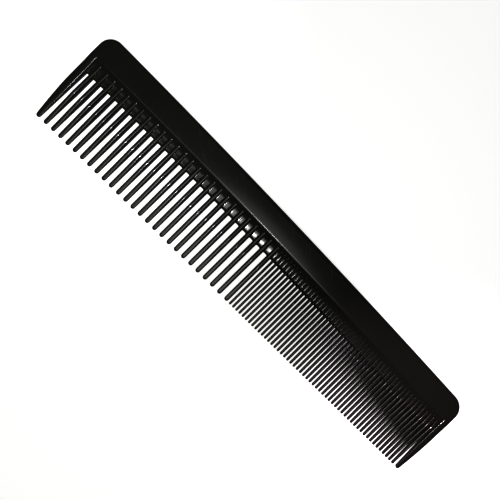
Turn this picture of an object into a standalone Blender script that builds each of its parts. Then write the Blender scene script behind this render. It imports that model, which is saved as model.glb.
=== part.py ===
"""A seven inch salon styling comb: wide teeth along one half, fine teeth along the other.

The comb lies on its lower face. +X runs along it towards the fine teeth, +Y from the teeth
towards the back, +Z up. The origin is the bottom centre of its bounding box. Metres.

The real comb is a single moulding. Here it is split into its spine, its two end guards, its wide
teeth and its fine teeth in pairs, with a hairline gap between neighbours. Each tooth or pair
carries its own share of the web, which is the thinner sheet between the teeth at their roots.
"""

import math

import bmesh
import bpy

# ---- Driving dimensions -------------------------------------------------------------------------
LENGTH = 0.178
WIDTH = 0.0384  # highest point of the back to the tip of the longer guard
SPINE_THICKNESS = 0.0042
EDGE_ROUND = 0.0006  # rounding of the back edge, the spine's ends and the guards
CORNER_RADIUS = 0.0051
GAP = 0.0003  # between neighbouring nodes

# The back, the step and the roots of the slots are shallow arcs: x and y of the apex, radius.
BACK_ARC = (-0.0680, WIDTH / 2, 3.644)
STEP_ARC = (-0.0440, 0.01015, 3.376)
ROOT_ARC = (-0.0350, 0.00407, 2.270)
TIP_LINE_MIDDLE = -0.0175  # y of the tooth tips at x = 0
TIP_LINE_SLOPE = 0.0196  # the comb narrows towards its fine end

STEP_RUN = 0.0012  # the spine's face slopes down to the tooth crests over this distance
CREST_HEIGHT = 0.0016  # of a tooth above the comb's middle plane, at its root
SHOULDER_HEIGHT = 0.0009  # where a tooth's upright flank turns in towards its crest
GUARD_TIP_THICKNESS = 0.0016
TOOTH_TIP_THICKNESS = 0.0010

# Teeth: land is the width of the narrow flat along the crest, and taper the distance from the tip
# over which a tooth thins.
WIDE_TEETH = {"count": 26, "pitch": 0.003505, "width": 0.00178, "land": 0.00050, "taper": 0.0152}
FINE_TEETH = {"count": 52, "pitch": 0.001544, "width": 0.00090, "land": 0.00030, "taper": 0.0168}
FIRST_WIDE_X = -LENGTH / 2 + 0.00580
WIDE_TO_FINE = 0.00203  # from the last wide tooth to the first fine one
TIP_WIDTH_SHARE = 0.93  # of the width at the root
BEAD_GAP = 0.00015  # the ridge of a tooth starts this far short of its web

# The web between two teeth: (distance above the slot's root, half thickness).
WEB_PROFILE = ((0.0033, 0.00105), (0.0011, 0.00085), (0.0, 0.00030))
WEB_TOP_HALF_THICKNESS = 0.00140

# Guards: distances of the inner edge at the root and of the tip's centre from the comb's end.
WIDE_GUARD = {"root": 0.00345, "tip": 0.00230, "tip_width": 0.00170}
FINE_GUARD = {"root": 0.00275, "tip": 0.00160, "tip_width": 0.00140}
GUARD_SLOPE = 0.0011  # width of the slope along a guard's inner side

BLACK_PLASTIC = {"colour": (0.012, 0.012, 0.011, 1.0), "roughness": 0.3, "metallic": 0.0}

MIDDLE = SPINE_THICKNESS / 2  # height of the comb's middle plane
ARC_STEPS = 16  # straight pieces along each long arc
SHARP_ANGLE = math.radians(30)


# ---- Lines of the comb in plan --------------------------------------------------------------------
def arc_y(arc, x):
    apex_x, apex_y, radius = arc
    return apex_y - radius + math.sqrt(radius**2 - (x - apex_x) ** 2)


def foot_y(x):
    """The foot of the step, where the spine ends and the teeth begin."""
    return arc_y(STEP_ARC, x) - STEP_RUN


def root_y(x):
    return arc_y(ROOT_ARC, x)


def tip_y(x):
    return TIP_LINE_MIDDLE + TIP_LINE_SLOPE * x


def spread(start, end, steps):
    return [start + (end - start) * i / steps for i in range(steps + 1)]


def tooth_row(first, kind):
    return [first + i * kind["pitch"] for i in range(kind["count"])]


# ---- Objects, lofts and Booleans --------------------------------------------------------------------
def new_object(name, mesh, collection):
    obj = bpy.data.objects.new(name, mesh)
    collection.objects.link(obj)
    return obj


def finish_mesh(name, bm, collection):
    bmesh.ops.recalc_face_normals(bm, faces=bm.faces)
    mesh = bpy.data.meshes.new(name)
    bm.to_mesh(mesh)
    bm.free()
    return new_object(name, mesh, collection)


def add_loft(bm, rings):
    """A closed body through rings that all have the same number of points."""
    rows = [[bm.verts.new(point) for point in ring] for ring in rings]
    sides = len(rows[0])
    for lower, upper in zip(rows, rows[1:]):
        for i in range(sides):
            j = (i + 1) % sides
            bm.faces.new((lower[i], lower[j], upper[j], upper[i]))
    bm.faces.new(rows[0][::-1])
    bm.faces.new(rows[-1])


def loft(name, bodies, collection):
    bm = bmesh.new()
    for rings in bodies:
        add_loft(bm, rings)
    return finish_mesh(name, bm, collection)


def boolean(obj, other, operation):
    other.hide_render = True
    other.display_type = "WIRE"
    modifier = obj.modifiers.new(f"{operation.lower()}_{other.name}", "BOOLEAN")
    modifier.operation = operation
    modifier.object = other


# ---- Teeth ------------------------------------------------------------------------------------------
def section(left, right, y, top, side, left_slope, right_slope):
    """Eight points round a tooth. top and side are the heights of its crest and its shoulders."""
    upper = [(left, side), (left + left_slope, top), (right - right_slope, top), (right, side)]
    lower = [(x, -z) for x, z in reversed(upper)]
    return [(x, y, MIDDLE + z) for x, z in upper + lower]


def tooth_rings(x, kind):
    """A tooth from its bead on the web to its rounded tip."""
    y_end = tip_y(x)
    taper = kind["taper"]
    round_length = kind["width"] * TIP_WIDTH_SHARE / 2
    stations = (
        (foot_y(x) - GAP - BEAD_GAP, 1.0, 1.0),
        (y_end + taper, 1.0, 1.0),
        (y_end + round_length, TIP_WIDTH_SHARE, 1.0),
        (y_end + round_length * 0.3, TIP_WIDTH_SHARE * 0.72, 0.85),
        (y_end, TIP_WIDTH_SHARE * 0.28, 0.50),
    )
    rings = []
    for y, across, through in stations:
        wedge = min(1.0, (y - y_end) / taper)
        top = (TOOTH_TIP_THICKNESS / 2 + (CREST_HEIGHT - TOOTH_TIP_THICKNESS / 2) * wedge) * through
        half = kind["width"] / 2 * across
        slope = (kind["width"] - kind["land"]) / 2 * across
        side = top * SHOULDER_HEIGHT / CREST_HEIGHT
        rings.append(section(x - half, x + half, y, top, side, slope, slope))
    return rings


def web_rings(left, right):
    """The web from the foot of the step down to the slot roots."""
    x = (left + right) / 2
    stations = [(foot_y(x) - GAP, WEB_TOP_HALF_THICKNESS)]
    stations += [(root_y(x) + above, half) for above, half in WEB_PROFILE]
    rings = []
    for y, half in stations:
        corners = ((left, -half), (left, half), (right, half), (right, -half))
        rings.append([(px, y, MIDDLE + z) for px, z in corners])
    return rings


def teeth_on_web(name, xs, kind, left, right, collection, helpers):
    """One node: a stretch of web with the teeth at xs standing on it and running past it."""
    web = loft(name, [web_rings(left, right)], collection)
    teeth = loft(f"{name}_blades", [tooth_rings(x, kind) for x in xs], helpers)
    boolean(web, teeth, "UNION")
    return web


# ---- Guards -------------------------------------------------------------------------------------------
def guard(name, end, kind, collection):
    """An end guard. end is -1 for the wide end and +1 for the fine end."""
    outer_x = end * LENGTH / 2
    inner_x = outer_x - end * kind["root"]
    tip_x = outer_x - end * kind["tip"]
    half_tip = end * kind["tip_width"] / 2
    y_start = foot_y(inner_x) - GAP
    length = y_start - tip_y(tip_x)
    straight = 0.3  # share of the length over which the outer edge runs straight
    bend = 1.6
    tip_scales = {0.985: 0.74, 1.0: 0.30}
    rings = []
    for share in (0.0, 0.3, 0.5, 0.7, 0.85, 0.965, 0.985, 1.0):
        curved = (max(0.0, share - straight) / (1.0 - straight)) ** bend
        edges = [
            outer_x + (tip_x + half_tip - outer_x) * curved,
            inner_x + (tip_x - half_tip - inner_x) * share,
        ]
        scale = tip_scales.get(share, 1.0)
        centre = sum(edges) / 2
        left, right = sorted(centre + (edge - centre) * scale for edge in edges)
        top = (SPINE_THICKNESS + (GUARD_TIP_THICKNESS - SPINE_THICKNESS) * share) / 2 * math.sqrt(scale)
        slope, edge = min(GUARD_SLOPE, (right - left) * 0.4), min(EDGE_ROUND, (right - left) * 0.3)
        slopes = (edge, slope) if end < 0 else (slope, edge)
        rings.append(section(left, right, y_start - share * length, top, top - edge, *slopes))
    return loft(name, [rings], collection)


# ---- Spine ------------------------------------------------------------------------------------------
def corner(centre_x, centre_y, start, end):
    """Points round a corner of the plan outline, from one angle to another in degrees."""
    angles = spread(math.radians(start), math.radians(end), 6)
    return [
        (centre_x + CORNER_RADIUS * math.cos(a), centre_y + CORNER_RADIUS * math.sin(a))
        for a in angles
    ]


def spine_outline():
    inset = LENGTH / 2 - CORNER_RADIUS
    back = [(x, arc_y(BACK_ARC, x)) for x in spread(inset, -inset, ARC_STEPS)]
    fine_corner = corner(inset, back[0][1] - CORNER_RADIUS, 0, 90)
    wide_corner = corner(-inset, back[-1][1] - CORNER_RADIUS, 90, 180)
    foot = [(x, foot_y(x)) for x in spread(-LENGTH / 2, LENGTH / 2, ARC_STEPS)]
    return fine_corner + back[1:-1] + wide_corner + foot


def flat_plate(name, outline, collection):
    """A bmesh of the outline's plate, with one flat face above and one below."""
    curve = bpy.data.curves.new(name, "CURVE")
    curve.dimensions = "2D"
    curve.fill_mode = "BOTH"
    curve.extrude = SPINE_THICKNESS / 2
    spline = curve.splines.new("POLY")
    spline.points.add(len(outline) - 1)
    for point, (x, y) in zip(spline.points, outline):
        point.co = (x, y, 0.0, 1.0)
    spline.use_cyclic_u = True
    source = new_object(f"{name}_outline", curve, collection)
    graph = bpy.context.evaluated_depsgraph_get()
    mesh = bpy.data.meshes.new_from_object(source.evaluated_get(graph))
    bpy.data.objects.remove(source)
    bm = bmesh.new()
    bm.from_mesh(mesh)
    bmesh.ops.remove_doubles(bm, verts=bm.verts, dist=1e-6)
    for z in (-SPINE_THICKNESS / 2, SPINE_THICKNESS / 2):
        caps = [f for f in bm.faces if all(abs(v.co.z - z) < 1e-6 for v in f.verts)]
        bmesh.ops.dissolve_faces(bm, faces=caps)
    bmesh.ops.translate(bm, vec=(0.0, 0.0, MIDDLE), verts=bm.verts)
    return bm


def round_rim(bm):
    """Rounds the plate's rim above and below, apart from the stretch along the foot."""
    rim = []
    for edge in bm.edges:
        level = abs(edge.verts[0].co.z - edge.verts[1].co.z) < 1e-6
        on_foot = all(abs(v.co.y - foot_y(v.co.x)) < 1e-6 for v in edge.verts)
        if level and not on_foot:
            rim.append(edge)
    bmesh.ops.bevel(bm, geom=rim, offset=EDGE_ROUND, segments=2, profile=0.5, affect="EDGES")


def step_cutter(side, collection):
    """Slopes the spine's face down to the tooth crests. side is +1 above and -1 below."""
    drop = SPINE_THICKNESS / 2 - CREST_HEIGHT
    beyond = 0.5  # the wedge runs past the face and past the foot by this share of its size
    left = -LENGTH / 2 + WIDE_GUARD["root"]
    right = LENGTH / 2 - FINE_GUARD["root"]
    rings = []
    for x in spread(left, right, ARC_STEPS):
        high, low = foot_y(x) + STEP_RUN * (1 + beyond), foot_y(x) - STEP_RUN * beyond
        corners = (
            (high, SPINE_THICKNESS / 2 + drop * beyond),
            (low, SPINE_THICKNESS / 2 + drop * beyond),
            (low, CREST_HEIGHT - drop * beyond),
        )
        rings.append([(x, y, MIDDLE + side * z) for y, z in corners])
    return loft(f"step_{'above' if side > 0 else 'below'}", [rings], collection)


def spine(collection, helpers):
    bm = flat_plate("spine", spine_outline(), helpers)
    round_rim(bm)
    body = finish_mesh("spine", bm, collection)
    for side in (1, -1):
        boolean(body, step_cutter(side, helpers), "DIFFERENCE")
    return body


# ---- Assembly -----------------------------------------------------------------------------------------
def plastic():
    material = bpy.data.materials.new("black_plastic")
    material.use_nodes = True
    shader = material.node_tree.nodes["Principled BSDF"]
    shader.inputs["Base Color"].default_value = BLACK_PLASTIC["colour"]
    shader.inputs["Roughness"].default_value = BLACK_PLASTIC["roughness"]
    shader.inputs["Metallic"].default_value = BLACK_PLASTIC["metallic"]
    return material


def new_collection(name):
    collection = bpy.data.collections.new(name)
    bpy.context.scene.collection.children.link(collection)
    return collection


def main():
    for obj in list(bpy.data.objects):
        bpy.data.objects.remove(obj)
    comb = new_collection("styling_comb")
    helpers = new_collection("cutters")

    wide = tooth_row(FIRST_WIDE_X, WIDE_TEETH)
    fine = tooth_row(wide[-1] + WIDE_TO_FINE, FINE_TEETH)
    first_left = -LENGTH / 2 + WIDE_GUARD["root"] + GAP
    last_right = LENGTH / 2 - FINE_GUARD["root"] - GAP
    wide_edge = wide[-1] + (WIDE_TO_FINE + (WIDE_TEETH["width"] - FINE_TEETH["width"]) / 2) / 2

    pieces = [
        spine(comb, helpers),
        guard("wide_end_guard", -1, WIDE_GUARD, comb),
        guard("fine_end_guard", 1, FINE_GUARD, comb),
    ]

    for number, x in enumerate(wide, 1):
        left = max(first_left, x - (WIDE_TEETH["pitch"] - GAP) / 2)
        right = min(wide_edge - GAP / 2, x + (WIDE_TEETH["pitch"] - GAP) / 2)
        name = f"wide_tooth_{number:02d}"
        pieces.append(teeth_on_web(name, [x], WIDE_TEETH, left, right, comb, helpers))

    for number, (x, next_x) in enumerate(zip(fine[0::2], fine[1::2]), 1):
        left = max(wide_edge + GAP / 2, x - (FINE_TEETH["pitch"] - GAP) / 2)
        right = min(last_right, next_x + (FINE_TEETH["pitch"] - GAP) / 2)
        name = f"fine_tooth_pair_{number:02d}"
        pieces.append(teeth_on_web(name, [x, next_x], FINE_TEETH, left, right, comb, helpers))

    material = plastic()
    for piece in pieces:
        piece.data.materials.append(material)
        piece.data.shade_smooth()
        piece.data.set_sharp_from_angle(angle=SHARP_ANGLE)


main()
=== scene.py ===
"""The looks of the salon styling comb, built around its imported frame.

The comb is one black moulding, so its whole skin is worked out as a single surface and only then cut
into one closed piece for each node of the frame. Every piece keeps the normals of the whole skin, so
that no seam shows. Lengths in the shape's functions are millimetres, with z counted from the comb's
middle plane; only the upper half is worked out, and the lower half is its mirror image.
"""

import math

import bpy
import numpy as np
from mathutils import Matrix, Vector


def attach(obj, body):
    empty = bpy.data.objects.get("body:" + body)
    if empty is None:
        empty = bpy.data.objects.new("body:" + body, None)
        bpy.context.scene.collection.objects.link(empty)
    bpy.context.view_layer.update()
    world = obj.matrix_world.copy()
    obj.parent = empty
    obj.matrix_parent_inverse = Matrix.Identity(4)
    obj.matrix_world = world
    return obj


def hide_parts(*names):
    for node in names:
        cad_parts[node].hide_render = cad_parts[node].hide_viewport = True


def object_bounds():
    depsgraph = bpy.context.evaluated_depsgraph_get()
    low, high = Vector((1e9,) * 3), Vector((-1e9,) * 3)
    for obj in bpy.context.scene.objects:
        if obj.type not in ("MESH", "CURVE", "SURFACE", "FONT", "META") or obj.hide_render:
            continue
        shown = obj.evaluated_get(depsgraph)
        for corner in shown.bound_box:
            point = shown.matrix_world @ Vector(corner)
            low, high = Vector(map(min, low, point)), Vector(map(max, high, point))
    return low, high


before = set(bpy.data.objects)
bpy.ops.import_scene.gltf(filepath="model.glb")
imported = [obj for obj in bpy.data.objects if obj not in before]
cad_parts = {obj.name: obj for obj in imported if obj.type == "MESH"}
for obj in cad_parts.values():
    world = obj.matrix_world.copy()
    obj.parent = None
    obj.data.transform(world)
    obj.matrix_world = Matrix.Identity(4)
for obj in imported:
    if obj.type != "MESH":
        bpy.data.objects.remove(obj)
cad_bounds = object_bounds()

MM = 0.001
LOW, HIGH = (np.array(corner) / MM for corner in cad_bounds)
MIDDLE = (LOW[2] + HIGH[2]) / 2  # height of the comb's middle plane
HALF_LENGTH = HIGH[0]

# ---- Shape ---------------------------------------------------------------------------------------
NODE_GAP = 0.3  # the hairline between the frame's nodes
STEP_RUN = 1.2  # from the step's edge to its foot, where the frame's spine ends
RIM_BEVEL = 0.5  # height that the bevels of the frame's rim can take
FACE_HEIGHT = HIGH[2] - MIDDLE  # of the spine's face at the step's edge
FACE_CROWN = 0.26  # how far the face falls over FACE_SPAN, about the way to the back edge
FACE_SPAN = 7.0
RIM_WIDTH = 1.8  # over which the outer edges are rounded
RIM_POWER = 3.0
CORNER_RADIUS = 5.1

STEP_SLOPE = math.tan(math.radians(35))
STEP_EDGE_SOFTNESS = 0.50
STEP_EDGE_SHIFT = 0.28  # how far the rounded edge lies below the frame's sharp one
STEP_FOOT_SOFTNESS = 1.0
FLOOR_HEIGHT = 0.72  # of a valley's floor at its middle
FLOOR_MIDDLE = 4.1  # distance below the step's edge
FLOOR_FALL = math.tan(math.radians(4.8))
SLOT_END_DROP = 1.15  # length of the rounded fall at a slot's end
SLOT_CORNER = 0.32  # rounding of a slot's corners in plan
GUARD_SLOT_CORNER = 0.68
FILLET = 0.01  # between a valley's floor and a tooth
FILLET_FADE = 0.5  # floor height below which that fillet fades out
HOLLOW_START, HOLLOW_LENGTH = 1.2, 1.5  # where a valley's floor begins to rise towards its teeth
HOLLOW_POWER = 3

SEAM = 0.65  # distance below the step's edge of the seam between the spine and the teeth
BEAD_START = 0.95  # where a tooth's ridge rises out of the step
BEAD_LENGTH = 0.9
KNEE_SOFTNESS = 0.08
BEAD_RISE = 0.05  # how far the start of a ridge stands above its crest
BEAD_SPREAD = 0.32  # along the tooth, of that extra height
TIP_ROUNDING_POWER = 0.7  # how a crest falls over the rounding of a tip

WIDE = {
    "half": 0.89,  # half of the width at the root
    "hollow": math.tan(math.radians(0.6)),  # slope across a valley at the foot of a tooth
    "tip_share": 0.93,  # width at the tip, as a share of the width at the root
    "crest": 1.70,
    "rise": math.tan(math.radians(1.7)),  # slope of the crest from the root up to the knee
    "tip_crest": 0.24,
    "power": 3.0,  # of the superellipse that is the section
    "knee": (15.0, 16.2),  # distance from the tip at which the crest bends down
    "knee_x": (-25.0, -8.0),  # the x between which that distance changes
    "floor": (0.0, 0.45, 0.85, 0.985, 1.0),  # columns of a valley's floor, as shares of its half
    "arc": (0.0, 0.14, 0.30, 0.48, 0.66, 0.84, 1.0),  # columns of a flank, as shares of its turn
}
FINE = {
    "half": 0.465,
    "hollow": 0.0,
    "tip_share": 0.91,
    "crest": 1.98,
    "rise": math.tan(math.radians(3.2)),
    "tip_crest": 0.38,
    "power": 3.3,
    "knee": (15.2, 18.2),
    "knee_x": (5.0, 76.0),  # all along this kind, from the middle to the fine end
    "floor": (0.0, 0.60, 0.96, 1.0),
    "arc": (0.0, 0.25, 0.55, 0.80, 1.0),
}
# Guards: distances from the comb's end at the root and at the tip, of the inner edge, the crest and
# the outer edge. side is -1 at the wide end and +1 at the fine end.
WIDE_GUARD = {
    "side": -1,
    "node": "wide_end_guard",
    "inner": (3.45, 3.15),
    "crest": (2.60, 2.30),
    "outer": (0.0, 1.45),
}
FINE_GUARD = {
    "side": 1,
    "node": "fine_end_guard",
    "inner": (2.75, 2.30),
    "crest": (2.05, 1.60),
    "outer": (0.0, 0.90),
}
GUARD_FLOOR = (0.0, 0.45, 0.85, 0.985, 1.0)
GUARD_SHOULDER = 4.0  # over which a guard's crest moves in from the rim's edge
GUARD_POWER = 5.0
GUARD_ARC = (0.0, 0.14, 0.30, 0.48, 0.66, 0.84, 1.0)
GUARD_TIP_CREST = 0.45
GUARD_TIP_POWER = 2.2  # of the rim at a guard's tip
GUARD_FILLET_RUN = 0.8  # over which a guard's fillet grows, from the step's edge
GUARD_BOW_START = 0.38  # share of a guard's length at which its outer edge begins to curve in
GUARD_BOW_POWER = 1.5
RIM_ANGLES = np.radians((0, 12, 24, 36, 48, 60, 72, 82, 90))

# Rows, as distances below the step's edge, then as shares of the way to the slot's end.
SPINE_ROWS = (-0.60, -0.35, -0.20, -0.11, -0.04, 0.03, 0.10, 0.20, 0.35, 0.50, SEAM)
FOOT_ROWS = (0.80, 0.95, 1.10, 1.25, 1.40, 1.60)
VALLEY_SHARES = (0.07, 0.16, 0.28, 0.42, 0.56, 0.68, 0.78, 0.85, 0.90, 0.94, 0.97, 0.99, 1.0)
KNEE_ROWS = (-1.5, -0.85, -0.45, -0.15, 0.15, 0.45, 0.85, 1.5)  # round the knee, in millimetres
STRAIGHT_ROWS = 6  # from there to the tip
GUARD_BLADE_ROWS = 13
ROOT_CLEARANCE = 0.1  # least distance from a slot's end to the next row
MOST_SUNK = 0.995  # share of a crest's height that the floor beside it may reach
TIP_ANGLES = np.radians((90, 70, 50, 32, 16, 0))
FACE_ROWS = 6
FACE_SPACING = 1.2  # power that draws the face's rows towards the step
TOOTH_MORPH = (0.6, 1.9)  # distances between which the columns gather round a tooth
GUARD_MORPH = (-0.4, 1.9)


def quadratic(xs, ys):
    """The parabola that lies nearest to points of the frame."""
    return np.poly1d(np.polyfit(xs, ys, 2))


def node_points(name):
    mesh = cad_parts[name].data
    points = np.empty(len(mesh.vertices) * 3)
    mesh.vertices.foreach_get("co", points)
    return points.reshape(-1, 3) / MM - (0.0, 0.0, MIDDLE)


def node_names(start):
    return sorted(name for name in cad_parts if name.startswith(start))


def read_teeth():
    """Every tooth of the frame as its node, its kind, and the x and y of its tip."""
    teeth = []
    for start, kind, count in (("wide_tooth", WIDE, 1), ("fine_tooth_pair", FINE, 2)):
        for name in node_names(start):
            points = node_points(name)
            near = points[points[:, 1] < points[:, 1].min() + kind["half"]]
            middle = (near[:, 0].min() + near[:, 0].max()) / 2
            groups = [near] if count == 1 else [near[near[:, 0] < middle], near[near[:, 0] > middle]]
            for group in groups:
                x = (group[:, 0].min() + group[:, 0].max()) / 2
                teeth.append({"node": name, "kind": kind, "x": x, "tip": group[:, 1].min()})
    return teeth


def read_lines():
    """The shallow curves of the step's edge, the slots' roots and the back, read from the frame."""
    names = node_names("wide_tooth") + node_names("fine_tooth_pair")
    xs, steps, roots = [], [], []
    for name in names:
        points = node_points(name)
        left = points[points[:, 0] < points[:, 0].min() + 0.01]
        xs.append(np.mean(points[:, 0]))
        steps.append(points[:, 1].max() + NODE_GAP + STEP_RUN)
        roots.append(left[:, 1].min())
    spine = node_points("spine")
    straight = HALF_LENGTH - CORNER_RADIUS
    upright = np.abs(spine[:, 2]) < FACE_HEIGHT - RIM_BEVEL
    on_back = upright & (np.abs(spine[:, 0]) < straight + 0.01)
    back = spine[on_back & (spine[:, 1] > max(steps))]
    return quadratic(xs, steps), quadratic(xs, roots), quadratic(back[:, 0], back[:, 1])


step_y, root_y, back_y = read_lines()


# ---- Heights -------------------------------------------------------------------------------------
def soft_max(a, b, width):
    """The larger of a and b, with their crossing rounded over a difference of width."""
    width = np.maximum(width, 1e-9)
    share = np.clip(0.5 + 0.5 * (a - b) / width, 0.0, 1.0)
    return b + (a - b) * share + width * share * (1.0 - share)


def soft_min(a, b, width):
    return -soft_max(-a, -b, width)


def ease(share):
    share = np.clip(share, 0.0, 1.0)
    return share * share * (3.0 - 2.0 * share)


def mix(a, b, share):
    return a + (b - a) * share


def superellipse(across, power):
    """Height from 1 in the middle to 0 at a distance of 1."""
    return (1.0 - np.minimum(np.abs(across), 1.0) ** power) ** (1.0 / power)


def base_height(v, v_end, rise=0.0):
    """The spine's face, the step and a valley's floor, at a distance v below the step's edge."""
    face = FACE_HEIGHT - FACE_CROWN * (np.minimum(v, 0.0) / FACE_SPAN) ** 2
    slope = FACE_HEIGHT - STEP_SLOPE * (v - STEP_EDGE_SHIFT)
    floor = FLOOR_HEIGHT + rise - FLOOR_FALL * (np.maximum(v, 0.0) - FLOOR_MIDDLE)
    height = soft_max(soft_min(face, slope, STEP_EDGE_SOFTNESS), floor, STEP_FOOT_SOFTNESS)
    drop = np.clip((v - v_end + SLOT_END_DROP) / SLOT_END_DROP, 0.0, 1.0)
    return height * np.sqrt(1.0 - drop**2)


def crest_height(kind, v, v_tip, knee):
    """A tooth's crest: a rounded start, a slight rise as far as the knee, then an even fall to the tip."""
    from_tip = v_tip - v
    rising = kind["crest"] - kind["rise"] * (from_tip - knee)
    falling = kind["tip_crest"] + (kind["crest"] - kind["tip_crest"]) * from_tip / knee
    crest = soft_min(rising, falling, KNEE_SOFTNESS)
    crest = crest + BEAD_RISE * np.exp(-(((v - BEAD_START - BEAD_LENGTH) / BEAD_SPREAD + 1.0) ** 2))
    bead = np.clip((BEAD_START + BEAD_LENGTH - v) / BEAD_LENGTH, 0.0, 1.0)
    return crest * np.sqrt(1.0 - bead**2)


def knee_distance(tooth):
    return np.interp(tooth["x"], tooth["kind"]["knee_x"], tooth["kind"]["knee"])


# ---- Patches of the upper skin -------------------------------------------------------------------
patches = []  # (points in rows and columns, the node each patch belongs to)


def row_table(v_root, ends):
    """Distances below the step's edge for every row and column, and the heights' own distances."""
    plain = np.array(SPINE_ROWS + FOOT_ROWS)
    shares = np.array(VALLEY_SHARES)[:, None]
    columns = len(ends)
    start = plain[-1]
    above = np.repeat(plain[:, None], columns, 1)
    v = np.vstack([above, start + (np.asarray(ends)[None, :] - start) * shares])
    v_base = np.vstack([above, np.repeat(start + (v_root - start) * shares, columns, 1)])
    return v, v_base


def slot_end(v_root, gap, floor, corner):
    """Where each column of a valley's floor ends: square across, with rounded corners."""
    past = np.maximum(0.0, np.array(floor) * gap - (gap - corner))
    return v_root + corner - np.sqrt(corner**2 - past**2)


def side_columns(kind, x_middle, x_crest, half, v, v_base, v_root, crest, morph_span):
    """x of the columns on one side of a tooth, from the slot's middle to the crest."""
    floor, arc, power = kind["floor"], kind["arc"], kind["power"]
    side = np.sign(x_middle - x_crest[0, 0])
    columns = len(floor) + len(arc) - 1
    base = base_height(v_base, v_root)
    ratio = np.clip(base / np.maximum(crest, 1e-6), 0.0, MOST_SUNK)[:, :1]
    start = np.arcsin(ratio ** (power / 2))
    angles = start + (np.pi / 2 - start) * np.array(arc)[None, :]
    arc_x = x_crest[:, :1] + side * half[:, :1] * np.cos(angles) ** (2 / power)
    floor_x = x_middle + (arc_x[:, :1] - x_middle) * np.array(floor)[None, :]
    shaped = np.hstack([floor_x[:, :-1], arc_x])
    even = x_middle + (x_crest[:, :1] - x_middle) * np.linspace(0.0, 1.0, columns)[None, :]
    low, high = morph_span
    return mix(even, shaped, ease((v[:, :1] - low) / (high - low)))


def add_patch(x, y, z, node):
    patches.append((np.stack([x, y, z], axis=-1), node))


def split_at_seam(x, y, z, node):
    seam = len(SPINE_ROWS)
    add_patch(x[:seam], y[:seam], z[:seam], "spine")
    add_patch(x[seam - 1:], y[seam - 1:], z[seam - 1:], node)


def tooth_side(tooth, x_middle):
    """Half of a tooth with its share of the valley beside it. Returns x, v and z."""
    kind = tooth["kind"]
    v_root = step_y(tooth["x"]) - root_y(tooth["x"])
    v_tip = step_y(tooth["x"]) - tooth["tip"]
    gap = abs(x_middle - tooth["x"]) - kind["half"]
    ends = list(slot_end(v_root, gap, kind["floor"], SLOT_CORNER))
    ends += [v_root + SLOT_CORNER] * (len(kind["arc"]) - 1)
    v, v_base = row_table(v_root, ends)
    crest = crest_height(kind, v, v_tip, knee_distance(tooth))
    x_crest = np.full_like(v, tooth["x"])
    half = np.full_like(v, kind["half"])
    x = side_columns(kind, x_middle, x_crest, half, v, v_base, v_root, crest, TOOTH_MORPH)
    ridge = crest * superellipse((x - tooth["x"]) / kind["half"], kind["power"])
    reach = np.abs(x - x_middle) / np.abs(x[:, len(kind["floor"]) - 1] - x_middle)[:, None]
    hollow = ease((v_base - HOLLOW_START) / HOLLOW_LENGTH) * kind["hollow"] * gap / HOLLOW_POWER
    base = base_height(v_base, v_root, hollow * np.minimum(reach, 1.0) ** HOLLOW_POWER)
    z = soft_max(base, ridge, FILLET * np.clip(base / FILLET_FADE, 0.0, 1.0) * (v > BEAD_START))
    z[-1] = np.where(np.arange(len(ends)) < len(kind["floor"]), 0.0, z[-1])
    return x, v, z


def blade(tooth):
    """A tooth past the end of its slots."""
    kind = tooth["kind"]
    v_root = step_y(tooth["x"]) - root_y(tooth["x"]) + SLOT_CORNER
    v_tip = step_y(tooth["x"]) - tooth["tip"]
    arc = np.array(kind["arc"]) * np.pi / 2
    angles = np.concatenate([arc, np.pi - arc[-2::-1]])
    across = -np.sign(np.cos(angles)) * np.abs(np.cos(angles)) ** (2 / kind["power"])
    up = np.sin(angles) ** (2 / kind["power"])
    up[0] = up[-1] = 0.0
    tip_half = kind["half"] * kind["tip_share"]
    near_knee = v_tip - knee_distance(tooth) + np.array(KNEE_ROWS)
    near_root = np.append(v_root, near_knee[near_knee > v_root + ROOT_CLEARANCE])
    straight = np.linspace(near_root[-1], v_tip - tip_half, STRAIGHT_ROWS + 1)[1:]
    spread = np.concatenate([near_root, straight])
    rounding = TIP_ANGLES[1:]
    v = np.concatenate([spread, v_tip - tip_half * (1.0 - np.cos(rounding))])
    narrowing = mix(kind["half"], tip_half, (spread - v_root) / (spread[-1] - v_root))
    half = np.concatenate([narrowing, tip_half * np.sin(rounding)])
    crest = crest_height(kind, v, v_tip, knee_distance(tooth))
    crest[len(spread):] *= np.sin(rounding) ** TIP_ROUNDING_POWER
    x = tooth["x"] + half[:, None] * across[None, :]
    z = crest[:, None] * up[None, :]
    add_patch(x, step_y(x) - v[:, None], z, tooth["node"])


def tooth_unit(tooth, left, right):
    """A whole tooth from the middle of the slot on its left to the middle of the slot on its right."""
    parts = [tooth_side(tooth, left), tooth_side(tooth, right)]
    x, v, z = (np.hstack([a, b[:, -2::-1]]) for a, b in zip(*parts))
    split_at_seam(x, step_y(x) - v, z, tooth["node"])
    blade(tooth)


def guard_share(v, v_tip):
    return np.clip((v - SEAM) / (v_tip - SEAM), 0.0, 1.0)


def guard_lines(guard, v, v_tip):
    """x of a guard's crest, and its inner and outer half widths, at distances v."""
    share = guard_share(v, v_tip)
    bow = np.clip((share - GUARD_BOW_START) / (1.0 - GUARD_BOW_START), 0.0, 1.0) ** GUARD_BOW_POWER
    root = mix(RIM_WIDTH, guard["crest"][0], ease((v - SEAM) / GUARD_SHOULDER))
    crest = mix(root, guard["crest"][1], share)
    inner = mix(*guard["inner"], share)
    outer = mix(*guard["outer"], bow)
    return guard["side"] * (HALF_LENGTH - crest), inner - crest, crest - outer


def guard_crest_height(v, v_tip):
    return mix(FACE_HEIGHT, GUARD_TIP_CREST, guard_share(v, v_tip))


def guard_power(v, v_tip):
    return mix(RIM_POWER, GUARD_TIP_POWER, np.sqrt(guard_share(v, v_tip)))


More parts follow.
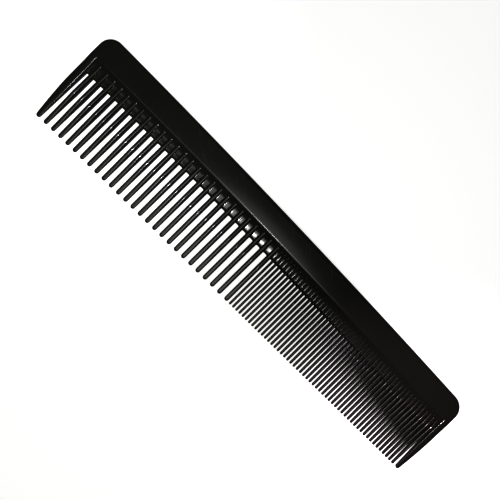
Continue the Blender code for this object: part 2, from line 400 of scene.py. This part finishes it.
def guard_rim(x_crest, outer, height, power, side):
    """The rounded outer part of a guard, from its crest to the comb's end."""
    across = np.sin(RIM_ANGLES)[None, :] ** (2 / power[:, None])
    up = np.cos(RIM_ANGLES)[None, :] ** (2 / power[:, None])
    up[:, -1] = 0.0
    return x_crest[:, None] + side * outer[:, None] * across, height[:, None] * up


def guard_unit(guard, x_middle, tip_y):
    """A guard, with its share of the valley beside it."""
    kind = {"floor": GUARD_FLOOR, "arc": GUARD_ARC, "power": GUARD_POWER}
    x_inner = guard["side"] * (HALF_LENGTH - guard["inner"][0])
    v_root = step_y(x_middle) - root_y(x_middle)
    v_tip = step_y(x_inner) - tip_y
    gap = abs(x_middle - x_inner)
    ends = list(slot_end(v_root, gap, GUARD_FLOOR, GUARD_SLOT_CORNER))
    ends += [v_root + GUARD_SLOT_CORNER] * (len(GUARD_ARC) - 1)
    v, v_base = row_table(v_root, ends)
    x_crest, inner, outer = guard_lines(guard, v, v_tip)
    crest = guard_crest_height(v, v_tip)
    x = side_columns(kind, x_middle, x_crest, inner, v, v_base, v_root, crest, GUARD_MORPH)
    ridge = crest * superellipse((x - x_crest) / inner, kind["power"])
    base = base_height(v_base, v_root)
    blend = FILLET * np.clip(base / FILLET_FADE, 0.0, 1.0) * ease(v / GUARD_FILLET_RUN)
    z = np.where(v > 0.0, soft_max(base, ridge, blend), base)
    z[-1] = np.where(np.arange(len(ends)) < len(GUARD_FLOOR), 0.0, z[-1])
    # The rim's height follows the crest column.
    powers = guard_power(v[:, -1], v_tip)
    rim_x, rim_z = guard_rim(x_crest[:, -1], outer[:, -1], z[:, -1], powers, guard["side"])
    rim_v = np.repeat(v[:, -1:], len(RIM_ANGLES), 1)
    split_at_seam(x, step_y(x) - v, z, guard["node"])
    seam = len(SPINE_ROWS) - 1
    add_patch(rim_x[seam:], step_y(rim_x[seam:]) - rim_v[seam:], rim_z[seam:], guard["node"])

    # Past the slot's end the guard is a closed, lopsided blade.
    tip_half = (guard["inner"][1] - guard["outer"][1]) / 2
    rounding = TIP_ANGLES[1:]
    spread = np.linspace(v[-1, -1], v_tip - tip_half, GUARD_BLADE_ROWS)
    v_blade = np.concatenate([spread, v_tip - tip_half * (1.0 - np.cos(rounding))])
    x_crest, inner, outer = guard_lines(guard, v_blade, v_tip)
    crest = guard_crest_height(v_blade, v_tip)
    shrink = np.concatenate([np.ones(GUARD_BLADE_ROWS), np.sin(rounding)])
    inner, outer, crest = inner * shrink, outer * shrink, crest * shrink**TIP_ROUNDING_POWER
    arc = np.array(GUARD_ARC) * np.pi / 2
    up = np.sin(arc) ** (2 / kind["power"])
    up[0] = 0.0
    across = np.cos(arc) ** (2 / kind["power"])
    inner_x = x_crest[:, None] - guard["side"] * inner[:, None] * across[None, :]
    inner_z = crest[:, None] * up[None, :]
    rim_x, rim_z = guard_rim(x_crest, outer, crest, guard_power(v_blade, v_tip), guard["side"])
    for px, pz in ((inner_x, inner_z), (rim_x, rim_z)):
        add_patch(px, step_y(px) - v_blade[:, None], pz, guard["node"])


def spine_face(top_row):
    """The spine's face above the step, and the rounded rim round its back and ends."""
    x, y, z = top_row
    inset = HALF_LENGTH - CORNER_RADIUS
    inner_radius = CORNER_RADIUS - RIM_WIDTH
    top_x = x.copy()
    for side in (-1, 1):
        order = np.arange(len(x)) if side < 0 else np.arange(len(x))[::-1]
        count = int(np.argmin(np.abs(x[order] - side * inset)))
        turn = np.linspace(0.0, np.pi / 2, count + 1)
        top_x[order[: count + 1]] = side * (inset + inner_radius * np.cos(turn))
    past = np.clip(np.abs(top_x) - inset, 0.0, inner_radius)
    ends = np.clip(top_x, -inset, inset)
    top_y = back_y(ends) - CORNER_RADIUS + np.sqrt(inner_radius**2 - past**2)
    shares = (np.linspace(0.0, 1.0, FACE_ROWS + 1) ** FACE_SPACING)[:, None]
    face_x = mix(x[None, :], top_x[None, :], shares)
    face_y = mix(y[None, :], top_y[None, :], shares)
    v = step_y(face_x) - face_y
    face_z = base_height(v, np.inf)
    add_patch(face_x, face_y, face_z, "spine")
    return face_x, face_y, face_z


def spine_rim(left, top, right):
    """The rim as a strip along the spine's outline. Each part is (points, outward directions)."""
    points = np.vstack([left[0], top[0][1:-1], right[0]])
    outward = np.vstack([left[1], top[1][1:-1], right[1]])
    across = np.sin(RIM_ANGLES) ** (2 / RIM_POWER)
    up = np.cos(RIM_ANGLES) ** (2 / RIM_POWER)
    up[-1] = 0.0
    x = points[:, 0:1] + outward[:, 0:1] * RIM_WIDTH * across
    y = points[:, 1:2] + outward[:, 1:2] * RIM_WIDTH * across
    add_patch(x, y, points[:, 2:3] * up, "spine")


def build_skin():
    teeth = read_teeth()
    guard_tips = {g["node"]: node_points(g["node"])[:, 1].min() for g in (WIDE_GUARD, FINE_GUARD)}
    left_edge = -HALF_LENGTH + WIDE_GUARD["inner"][0]
    right_edge = HALF_LENGTH - FINE_GUARD["inner"][0]
    faces = [(left_edge, teeth[0]["x"] - teeth[0]["kind"]["half"])]
    for a, b in zip(teeth, teeth[1:]):
        faces.append((a["x"] + a["kind"]["half"], b["x"] - b["kind"]["half"]))
    faces.append((teeth[-1]["x"] + teeth[-1]["kind"]["half"], right_edge))
    middles = [sum(pair) / 2 for pair in faces]

    guard_unit(WIDE_GUARD, middles[0], guard_tips["wide_end_guard"])
    for tooth, left, right in zip(teeth, middles, middles[1:]):
        tooth_unit(tooth, left, right)
    guard_unit(FINE_GUARD, middles[-1], guard_tips["fine_end_guard"])

    # The top row of every patch that starts at the first spine row, in order along the comb.
    seam_rows = len(SPINE_ROWS)
    starts = [p for p, node in patches if node == "spine" and len(p) == seam_rows]
    starts = [p if p[0, 0, 0] < p[0, -1, 0] else p[:, ::-1] for p in starts]
    starts.sort(key=lambda p: p[0, 0, 0])
    block = np.concatenate([starts[0]] + [p[:, 1:] for p in starts[1:]], axis=1)
    face_x, face_y, face_z = spine_face(block[0].T)

    def edge(column):
        lower = block[::-1, column]
        upper = np.stack([face_x[1:, column], face_y[1:, column], face_z[1:, column]], axis=-1)
        return np.vstack([lower, upper])

    left, right = edge(0), edge(-1)[::-1]
    top = np.stack([face_x[-1], face_y[-1], face_z[-1]], axis=-1)
    inset = HALF_LENGTH - CORNER_RADIUS
    ends = np.clip(top[:, 0], -inset, inset)
    outward = np.stack([top[:, 0] - ends, top[:, 1] - (back_y(ends) - CORNER_RADIUS)], axis=-1)
    slope = back_y.deriv()(ends)
    middle = np.abs(top[:, 0]) < inset
    outward[middle] = np.stack([-slope[middle], np.ones(middle.sum())], axis=-1)
    outward /= np.linalg.norm(outward, axis=1)[:, None]
    side = np.tile([1.0, 0.0], (len(left), 1))
    spine_rim((left, -side), (top, outward), (right, side))


# ---- One closed mesh for each node ---------------------------------------------------------------
WELD = 2e-4  # mm
OFFSET = 2.71e-5  # keeps round numbers away from the edges of the weld's cells


def weld_patches():
    """All the patches as one list of points and faces, with each face's node."""
    points, faces, nodes = [], [], []
    count = 0
    for grid, node in patches:
        rows, columns = grid.shape[:2]
        index = count + np.arange(rows * columns).reshape(rows, columns)
        quads = np.stack([index[:-1, :-1], index[1:, :-1], index[1:, 1:], index[:-1, 1:]], axis=-1)
        quads = quads.reshape(-1, 4)
        flat = grid.reshape(-1, 3)
        corners = flat[quads - count]
        normal = np.cross(corners[:, 2] - corners[:, 0], corners[:, 3] - corners[:, 1])
        if normal[:, 2].sum() < 0:
            quads = quads[:, ::-1]
        points.append(flat)
        faces.append(quads)
        nodes += [node] * len(quads)
        count += len(flat)
    points = np.concatenate(points)
    points[np.abs(points[:, 2]) < 1e-6, 2] = 0.0
    keys = np.floor((points + OFFSET) / WELD).astype(np.int64)
    _, first, inverse = np.unique(keys, axis=0, return_index=True, return_inverse=True)
    return points[first], inverse.reshape(-1)[np.concatenate(faces)], np.array(nodes)


def without_repeats(face):
    kept = [v for i, v in enumerate(face) if v != face[i - 1]]
    return kept if len(set(kept)) == len(kept) and len(kept) > 2 else None


def whole_skin():
    """Both halves of the skin: points, faces, each face's node and each point's normal."""
    points, quads, nodes = weld_patches()
    half = len(points)
    mirror = np.arange(half) + half
    mirror[points[:, 2] == 0.0] = np.flatnonzero(points[:, 2] == 0.0)
    points = np.vstack([points, points * (1.0, 1.0, -1.0)])
    faces, owners = [], []
    for quad, node in zip(quads.tolist(), nodes):
        face = without_repeats(quad)
        if face:
            faces += [face, [int(mirror[v]) for v in reversed(face)]]
            owners += [node, node]
    normals = np.zeros_like(points)
    for size in (3, 4):
        group = np.array([f for f in faces if len(f) == size])
        a, b, c, d = (points[group[:, corner]] for corner in (0, 1, 2, -1))
        normal = np.cross(c - a, d - b) if size == 4 else np.cross(b - a, c - a)
        for column in range(size):
            np.add.at(normals, group[:, column], normal)
    normals /= np.maximum(np.linalg.norm(normals, axis=1), 1e-12)[:, None]
    full_mirror = np.concatenate([mirror, np.arange(half)])
    return points, faces, owners, normals, full_mirror


def caps(faces, mirror, half):
    """Faces that close a piece where it was cut from the next, between each open edge and its mirror."""
    edges = dict.fromkeys((a, b) for face in faces for a, b in zip(face, face[1:] + face[:1]))
    closing = []
    for a, b in edges:
        if (b, a) in edges or a >= half or b >= half:
            continue
        face = without_repeats([b, a, int(mirror[a]), int(mirror[b])])
        if face:
            closing.append(face)
    return closing


def make_piece(node, skin, material):
    points, all_faces, owners, normals, mirror = skin
    own_faces = [face for face, owner in zip(all_faces, owners) if owner == node]
    closing = caps(own_faces, mirror, len(points) // 2)
    faces = own_faces + closing
    used = sorted({v for face in faces for v in face})
    place = {v: i for i, v in enumerate(used)}
    co = (points[used] + (0.0, 0.0, MIDDLE)) * MM
    mesh = bpy.data.meshes.new(f"moulded_{node}")
    mesh.from_pydata(co.tolist(), [], [[place[v] for v in face] for face in faces])
    mesh.shade_smooth()
    loops = [normals[v] for face in own_faces for v in face]
    for polygon in list(mesh.polygons)[len(own_faces):]:
        loops += [polygon.normal] * len(polygon.vertices)
    mesh.normals_split_custom_set([tuple(n) for n in loops])
    mesh.materials.append(material)
    piece = bpy.data.objects.new(f"moulded_{node}", mesh)
    bpy.context.scene.collection.objects.link(piece)
    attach(piece, "root")
    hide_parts(node)


# ---- Material ------------------------------------------------------------------------------------
DEEP_BLACK = (0.0125, 0.0127, 0.0100, 1.0)
SOFT_BLACK = (0.0150, 0.0152, 0.0120, 1.0)
CLOUD_SCALE = 45.0
ROUGHNESS = (0.185, 0.205)
SCUFF_ANGLE = 38.0  # degrees
SCUFF_STRETCH = (130.0, 3600.0, 130.0)
SCUFF_ROUGHNESS = 0.16
SCUFF_EDGE = (0.66, 0.74)  # of the stripes' noise
SCUFF_PATCH = (0.50, 0.62)  # of the clouds' noise
UNEVENNESS = 0.000006  # metres
UNEVENNESS_SCALE = 190.0


def black_plastic():
    material = bpy.data.materials.new("black_plastic")
    material.use_nodes = True
    nodes, links = material.node_tree.nodes, material.node_tree.links
    shader = nodes["Principled BSDF"]
    shader.inputs["IOR"].default_value = 1.49
    place = nodes.new("ShaderNodeTexCoord")

    cloud = nodes.new("ShaderNodeTexNoise")
    cloud.inputs["Scale"].default_value = CLOUD_SCALE
    cloud.inputs["Detail"].default_value = 3.0
    links.new(place.outputs["Object"], cloud.inputs["Vector"])
    colour = nodes.new("ShaderNodeValToRGB")
    colour.color_ramp.elements[0].position = 0.35
    colour.color_ramp.elements[0].color = DEEP_BLACK
    colour.color_ramp.elements[1].position = 0.75
    colour.color_ramp.elements[1].color = SOFT_BLACK
    links.new(cloud.outputs["Fac"], colour.inputs["Fac"])
    links.new(colour.outputs["Color"], shader.inputs["Base Color"])

    rough = nodes.new("ShaderNodeMapRange")
    rough.inputs["To Min"].default_value, rough.inputs["To Max"].default_value = ROUGHNESS
    links.new(cloud.outputs["Fac"], rough.inputs["Value"])

    # Fine scuffs: long thin stripes, kept to a few patches.
    turn = nodes.new("ShaderNodeMapping")
    turn.inputs["Rotation"].default_value = (0.0, 0.0, math.radians(SCUFF_ANGLE))
    links.new(place.outputs["Object"], turn.inputs["Vector"])
    stretch = nodes.new("ShaderNodeMapping")
    stretch.inputs["Scale"].default_value = SCUFF_STRETCH
    links.new(turn.outputs["Vector"], stretch.inputs["Vector"])
    stripes = nodes.new("ShaderNodeTexNoise")
    stripes.inputs["Scale"].default_value = 1.0
    stripes.inputs["Detail"].default_value = 1.0
    links.new(stretch.outputs["Vector"], stripes.inputs["Vector"])
    thin = nodes.new("ShaderNodeMapRange")
    thin.inputs["From Min"].default_value, thin.inputs["From Max"].default_value = SCUFF_EDGE
    links.new(stripes.outputs["Fac"], thin.inputs["Value"])
    patch = nodes.new("ShaderNodeMapRange")
    patch.inputs["From Min"].default_value, patch.inputs["From Max"].default_value = SCUFF_PATCH
    links.new(cloud.outputs["Fac"], patch.inputs["Value"])
    scuffs = nodes.new("ShaderNodeMath")
    scuffs.operation = "MULTIPLY"
    links.new(thin.outputs["Result"], scuffs.inputs[0])
    links.new(patch.outputs["Result"], scuffs.inputs[1])
    worn = nodes.new("ShaderNodeMath")
    worn.operation = "MULTIPLY_ADD"
    worn.inputs[1].default_value = SCUFF_ROUGHNESS
    links.new(scuffs.outputs["Value"], worn.inputs[0])
    links.new(rough.outputs["Result"], worn.inputs[2])
    links.new(worn.outputs["Value"], shader.inputs["Roughness"])

    # The slight unevenness of a moulded skin.
    waves = nodes.new("ShaderNodeTexNoise")
    waves.inputs["Scale"].default_value = UNEVENNESS_SCALE
    waves.inputs["Detail"].default_value = 1.0
    links.new(place.outputs["Object"], waves.inputs["Vector"])
    bump = nodes.new("ShaderNodeBump")
    bump.inputs["Strength"].default_value = 1.0
    bump.inputs["Distance"].default_value = UNEVENNESS
    links.new(waves.outputs["Fac"], bump.inputs["Height"])
    links.new(bump.outputs["Normal"], shader.inputs["Normal"])
    return material


# ---- Studio --------------------------------------------------------------------------------------
# Places are in metres, angles in degrees, the camera's sensor and lens in millimetres.
FLOOR_HALF, FLOOR_GREY, FLOOR_GLOW = 3.0, 0.30, 0.82
WALL_RADIUS, WALL_TOP, WALL_SIDES, WALL_GLOW = 2.8, 3.5, 64, 0.95
WALL_BOTTOM = -0.01  # just below the floor
SENSOR_WIDTH, LENS = 36.0, 41.52
CAMERA_X, CAMERA_Y = -0.00188, 0.00092
CAMERA_RISE = 0.200  # above the comb's middle plane
CAMERA_TURN = 45.5
GAMMA = 0.6
# Heights in the world, from 0 straight below to 1 straight above: the end of the light from below,
# and the dark level with the comb.
LIGHT_END, DARK = 0.44, 0.5
BELOW = (0.25, 0.25, 0.25, 1.0)
LEVEL = (0.01, 0.01, 0.01, 1.0)
ABOVE = (0.30, 0.30, 0.28, 1.0)
COMB_CENTRE = (0.0, 0.0, 0.0)
NEUTRAL, WARM = (1.0, 1.0, 1.0), (1.0, 0.95, 0.86)
BLUISH, PINKISH = (0.9, 0.95, 1.0), (1.0, 0.84, 0.98)


def pale_surface(name, corners, faces, grey, glow):
    """A matt surface that shines by itself and doesn't show in the comb."""
    mesh = bpy.data.meshes.new(f"studio_{name}")
    mesh.from_pydata(corners, [], faces)
    material = bpy.data.materials.new(f"pale_{name}")
    material.use_nodes = True
    shader = material.node_tree.nodes["Principled BSDF"]
    shader.inputs["Base Color"].default_value = (grey, grey, grey, 1.0)
    shader.inputs["Roughness"].default_value = 0.9
    shader.inputs["Specular IOR Level"].default_value = 0.0
    shader.inputs["Emission Color"].default_value = (1.0, 1.0, 1.0, 1.0)
    shader.inputs["Emission Strength"].default_value = glow
    mesh.materials.append(material)
    surface = bpy.data.objects.new(f"studio_{name}", mesh)
    bpy.context.scene.collection.objects.link(surface)
    surface.visible_glossy = False
    return surface


def pale_floor():
    signs = ((-1, -1), (1, -1), (1, 1), (-1, 1))
    corners = [(FLOOR_HALF * x, FLOOR_HALF * y, 0.0) for x, y in signs]
    pale_surface("floor", corners, [(0, 1, 2, 3)], FLOOR_GREY, FLOOR_GLOW)


def pale_wall():
    """A wall round the floor. It is seen, but it neither lights the comb nor shows in it."""
    turns = [math.tau * i / WALL_SIDES for i in range(WALL_SIDES)]
    ring = [(WALL_RADIUS * math.cos(t), WALL_RADIUS * math.sin(t)) for t in turns]
    corners = [(x, y, z) for z in (WALL_BOTTOM, WALL_TOP) for x, y in ring]
    following = [(i + 1) % WALL_SIDES for i in range(WALL_SIDES)]
    faces = [(i, n, WALL_SIDES + n, WALL_SIDES + i) for i, n in enumerate(following)]
    wall = pale_surface("wall", corners, faces, 0.0, WALL_GLOW)
    wall.visible_diffuse = False
    wall.visible_shadow = False


def add_light(name, kind, place, target, power, colour):
    data = bpy.data.lights.new(name, kind)
    data.energy = power
    data.color = colour
    light = bpy.data.objects.new(name, data)
    light.location = place
    light.rotation_euler = (Vector(target) - Vector(place)).to_track_quat("-Z", "Y").to_euler()
    bpy.context.scene.collection.objects.link(light)
    return data


def disk_light(name, place, target, size, power, colour):
    data = add_light(name, "AREA", place, target, power, colour)
    data.shape = "DISK"
    data.size = size


def strip_light(name, place, target, size, power, colour):
    data = add_light(name, "AREA", place, target, power, colour)
    data.shape = "RECTANGLE"
    data.size, data.size_y = size


def spot_light(name, place, target, angle, size, power, colour):
    data = add_light(name, "SPOT", place, target, power, colour)
    data.spot_size = math.radians(angle)
    data.spot_blend = 1.0
    data.shadow_soft_size = size


def lamps():
    disk_light("key", (-0.0019, -0.0215, 0.205), COMB_CENTRE, 0.016, 0.10, NEUTRAL)
    disk_light("soft_key", (-0.0019, -0.0215, 0.206), COMB_CENTRE, 0.12, 0.09, NEUTRAL)
    strip_light("strip", (-0.06, -0.108, 0.35), (-0.06, 0.0, 0.0), (0.28, 0.06), 0.14, WARM)
    spot_light("wide_end", (-0.004, -0.0215, 0.205), (-0.080, 0.0, 0.0), 42.0, 0.008, 1.9, BLUISH)
    spot_light("fine_end", (0.004, -0.0055, 0.205), (0.084, 0.0, 0.0), 29.0, 0.006, 3.0, PINKISH)


def world_light():
    """A dim light from above and below, and darkness level with the comb."""
    world = bpy.data.worlds.new("studio")
    world.use_nodes = True
    nodes, links = world.node_tree.nodes, world.node_tree.links
    place = nodes.new("ShaderNodeTexCoord")
    height = nodes.new("ShaderNodeSeparateXYZ")
    level = nodes.new("ShaderNodeMapRange")
    level.inputs["From Min"].default_value = -1.0
    sky = nodes.new("ShaderNodeValToRGB")
    ramp = sky.color_ramp.elements
    ramp[0].position, ramp[0].color = LIGHT_END, BELOW
    ramp[1].position, ramp[1].color = 1.0, ABOVE
    ramp.new(DARK).color = LEVEL
    links.new(place.outputs["Generated"], height.inputs["Vector"])
    links.new(height.outputs["Z"], level.inputs["Value"])
    links.new(level.outputs["Result"], sky.inputs["Fac"])
    links.new(sky.outputs["Color"], nodes["Background"].inputs["Color"])
    bpy.context.scene.world = world


def camera():
    data = bpy.data.cameras.new("camera")
    data.sensor_width = SENSOR_WIDTH
    data.lens = LENS
    data.clip_start = 0.01
    viewer = bpy.data.objects.new("camera", data)
    viewer.location = (CAMERA_X, CAMERA_Y, MIDDLE * MM + CAMERA_RISE)
    viewer.rotation_euler = (0.0, 0.0, math.radians(CAMERA_TURN))
    bpy.context.scene.collection.objects.link(viewer)
    bpy.context.scene.camera = viewer
    bpy.context.scene.view_settings.view_transform = "Standard"
    bpy.context.scene.view_settings.gamma = GAMMA


# ---- The whole scene -------------------------------------------------------------------------------
build_skin()
skin = whole_skin()
plastic = black_plastic()
for node in sorted(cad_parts):
    make_piece(node, skin, plastic)
pale_floor()
pale_wall()
world_light()
lamps()
camera()
